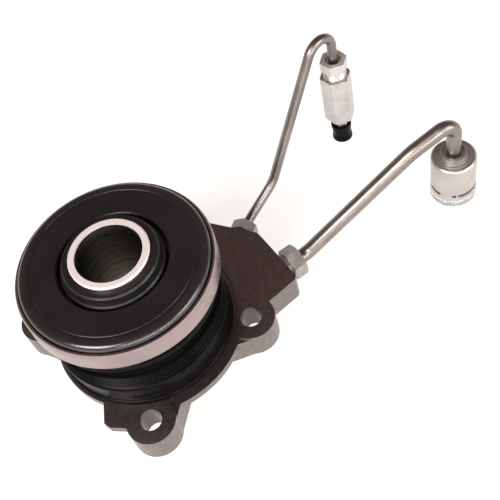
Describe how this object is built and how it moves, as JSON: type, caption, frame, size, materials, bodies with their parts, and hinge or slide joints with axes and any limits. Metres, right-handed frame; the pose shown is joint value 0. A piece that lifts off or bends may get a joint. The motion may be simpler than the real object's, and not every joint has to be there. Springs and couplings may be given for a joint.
{
  "type": "concentric slave cylinder",
  "caption": "Clutch concentric slave cylinder: release bearing on an annular piston over a guide sleeve, die-cast flange, pressure pipe with quick connector, bleed pipe with bleeder.",
  "frame": {"origin": "shaft axis at the mounting face", "axes": "+Z along the shaft axis from the mounting face towards the clutch, +X towards the pressure line's connector"},
  "size_m": [0.1954, 0.1243, 0.0701],
  "materials": {
    "cast_aluminium": "die-cast satin",
    "turned_steel": "turned",
    "pressed_steel": "satin",
    "bearing_steel": "ground",
    "black_steel": "black satin",
    "black_polymer": "moulded",
    "cage_polymer": "moulded",
    "black_rubber": "moulded",
    "spring_steel": "drawn",
    "pipe_steel": "drawn satin",
    "zinc_nut": "zinc plated",
    "bleeder_steel": "zinc plated",
    "connector_metal": "turned",
    "clear_plastic": "translucent"
  },
  "bodies": {
    "housing": {"housing": "cast_aluminium", "guide_sleeve": "turned_steel", "sleeve_o_ring": "black_rubber", "flange_o_ring": "black_rubber", "preload_spring": "spring_steel", "dust_boot": "black_rubber", "pressure_pipe": "pipe_steel", "pressure_nut": "zinc_nut", "bleed_pipe": "pipe_steel", "bleed_nut": "zinc_nut", "union_nut": "zinc_nut", "bleeder_body": "bleeder_steel", "connector_body": "connector_metal", "connector_seal": "black_rubber", "retaining_ring": "spring_steel"},
    "release_bearing": {"piston": "black_polymer", "piston_seal": "black_rubber", "bearing_carrier": "pressed_steel", "outer_race": "bearing_steel", "bearing_shell": "pressed_steel"},
    "contact_ring": {"contact_ring": "black_steel"},
    "ball_cage": {"ball_cage": "cage_polymer", "bearing_balls": "bearing_steel"},
    "bleed_screw": {"bleed_screw": "bleeder_steel"},
    "bleeder_cap": {"bleeder_cap": "black_rubber"},
    "dust_plug": {"dust_plug": "clear_plastic"}
  },
  "joints": [
    {"name": "bearing_stroke", "type": "slide", "parent": "housing", "child": "release_bearing", "axis": [0, 0, 1], "range_m": [-0.014, 0], "stiffness_N_per_m": 2500, "springref_m": 0.02, "deforming": ["dust_boot", "preload_spring"]},
    {"name": "contact_spin", "type": "hinge", "parent": "release_bearing", "child": "contact_ring", "pos_m": [0, 0, 0.0502], "axis": [0, 0, 1], "continuous": true},
    {"name": "cage_spin", "type": "hinge", "parent": "release_bearing", "child": "ball_cage", "pos_m": [0, 0, 0.0502], "axis": [0, 0, 1], "continuous": true},
    {"name": "bleed_screw_turn", "type": "hinge", "parent": "housing", "child": "bleed_screw", "pos_m": [0.102, 0.0669, 0.018], "axis": [0, 0, -1], "range_deg": [0, 180]},
    {"name": "bleeder_cap_pull", "type": "slide", "parent": "bleed_screw", "child": "bleeder_cap", "axis": [0, 0, -1], "range_m": [0, 0.016]},
    {"name": "dust_plug_pull", "type": "slide", "parent": "housing", "child": "dust_plug", "axis": [0, 0, -1], "range_m": [0, 0.012]}
  ],
  "couplings": [
    {"joint": "cage_spin", "follows": "contact_spin", "ratio": 0.4561}
  ]
}
